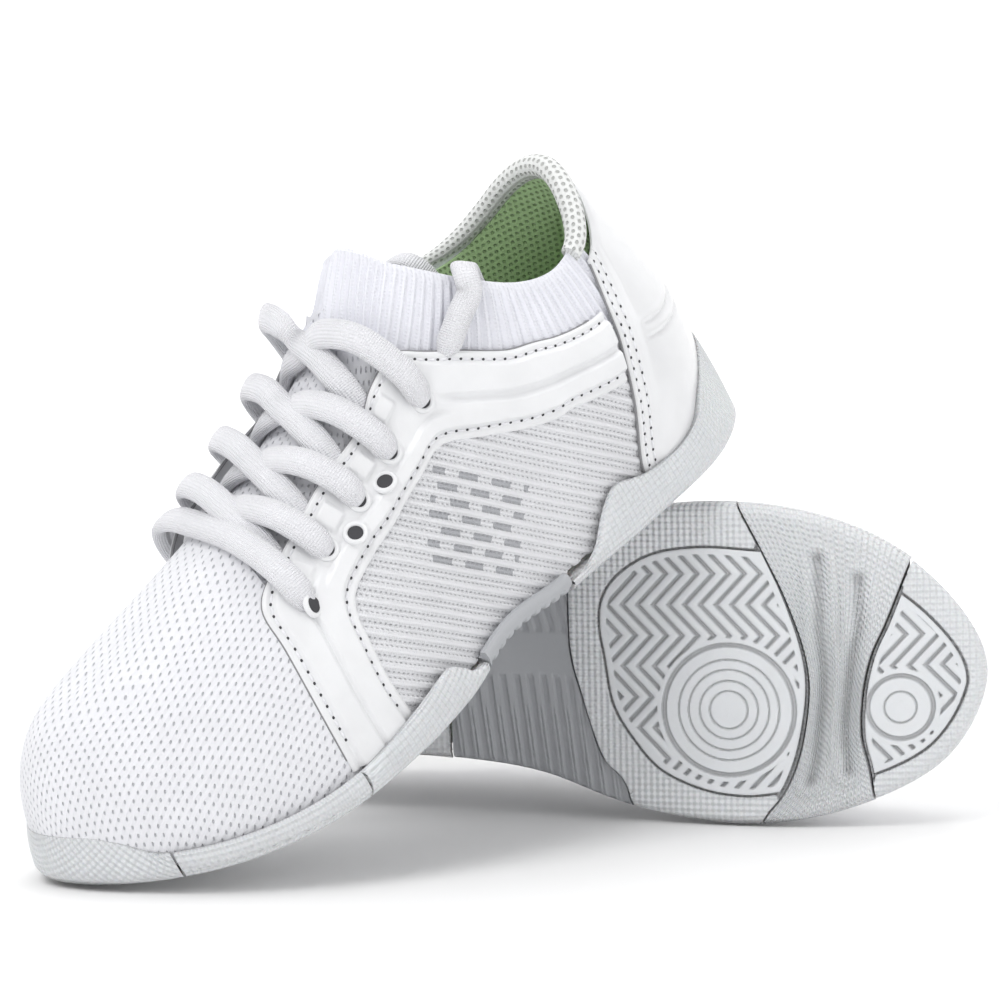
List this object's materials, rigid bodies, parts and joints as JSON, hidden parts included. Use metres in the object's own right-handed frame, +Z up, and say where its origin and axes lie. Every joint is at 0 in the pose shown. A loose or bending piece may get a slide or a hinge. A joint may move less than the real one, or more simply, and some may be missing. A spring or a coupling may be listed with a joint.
{
  "type": "cheer shoes",
  "caption": "Pair of low white cheerleading shoes with knit uppers, lace fastening, stitched overlays, glossy heel counters and flexible rubber soles with a zigzag tread",
  "frame": {"origin": "centre of the bounding box's bottom face, on the ground the pair rests on", "axes": "+X to the right of the viewer who sees the right shoe's sole, +Y away from that viewer, +Z up; the left shoe stands on its toe with its sole edge on the right shoe's outer edge, and the right shoe lies on its inner side with its sole towards the viewer"},
  "size_m": [0.2708, 0.2317, 0.1887],
  "materials": {
    "sole_rubber": "satin white rubber with a fine diamond texture",
    "tread_rubber": "satin white rubber with zigzag grooves",
    "arch_plastic": "matte grey, ribbed",
    "board": "pressed fibre board",
    "insole_foam": "soft foam with a knit cover",
    "knit": "flat knit with small holes",
    "rib_knit": "vertical rib knit",
    "side_knit": "slanted rib knit with open bands",
    "white_leather": "soft satin synthetic leather",
    "gloss_leather": "smooth glossy synthetic leather",
    "lining_mesh": "open spacer mesh",
    "foam": "open-cell collar foam",
    "lace_cord": "fine braided cord",
    "aglet_plastic": "clear white"
  },
  "bodies": {
    "root": {"left_outsole_flex_strip": "sole_rubber", "left_outsole_ball": "sole_rubber", "left_arch_plate": "arch_plastic", "left_outsole_heel": "sole_rubber", "left_ball_tread_pad": "tread_rubber", "left_heel_tread_pad": "tread_rubber", "left_insole_board": "board", "left_insole": "insole_foam", "left_heel_stiffener": "board", "left_vamp_knit": "knit", "left_tongue_knit": "knit", "left_ribbed_cuff": "rib_knit", "left_lateral_side_panel": "side_knit", "left_medial_side_panel": "side_knit", "left_lateral_overlay": "white_leather", "left_medial_overlay": "white_leather", "left_heel_counter": "gloss_leather", "left_collar_lining": "lining_mesh", "left_collar_foam": "foam", "left_lace": "lace_cord", "left_aglets": "aglet_plastic", "right_outsole_flex_strip": "sole_rubber", "right_outsole_ball": "sole_rubber", "right_arch_plate": "arch_plastic", "right_outsole_heel": "sole_rubber", "right_ball_tread_pad": "tread_rubber", "right_heel_tread_pad": "tread_rubber", "right_insole_board": "board", "right_insole": "insole_foam", "right_heel_stiffener": "board", "right_vamp_knit": "knit", "right_tongue_knit": "knit", "right_ribbed_cuff": "rib_knit", "right_lateral_side_panel": "side_knit", "right_medial_side_panel": "side_knit", "right_lateral_overlay": "white_leather", "right_medial_overlay": "white_leather", "right_heel_counter": "gloss_leather", "right_collar_lining": "lining_mesh", "right_collar_foam": "foam", "right_lace": "lace_cord", "right_aglets": "aglet_plastic"},
    "left_toe": {"left_outsole_toe": "sole_rubber", "left_toe_tread_pad": "tread_rubber", "left_toe_puff": "board"},
    "right_toe": {"right_outsole_toe": "sole_rubber", "right_toe_tread_pad": "tread_rubber", "right_toe_puff": "board"}
  },
  "joints": [
    {"name": "left_toe_flex", "type": "hinge", "parent": "root", "child": "left_toe", "pos_m": [-0.08867, -0.07719, 0.01356], "axis": [-0.5873, 0.8083, 0.0426], "range_deg": [-10, 40], "stiffness_Nm_per_rad": 4, "deforming": ["left_vamp_knit", "left_outsole_flex_strip", "left_insole", "left_insole_board"]},
    {"name": "right_toe_flex", "type": "hinge", "parent": "root", "child": "right_toe", "pos_m": [0.08818, -0.01461, 0.0466], "axis": [-0.0206, -0.0193, 0.9996], "range_deg": [-10, 40], "stiffness_Nm_per_rad": 4, "deforming": ["right_vamp_knit", "right_outsole_flex_strip", "right_insole", "right_insole_board"]}
  ]
}
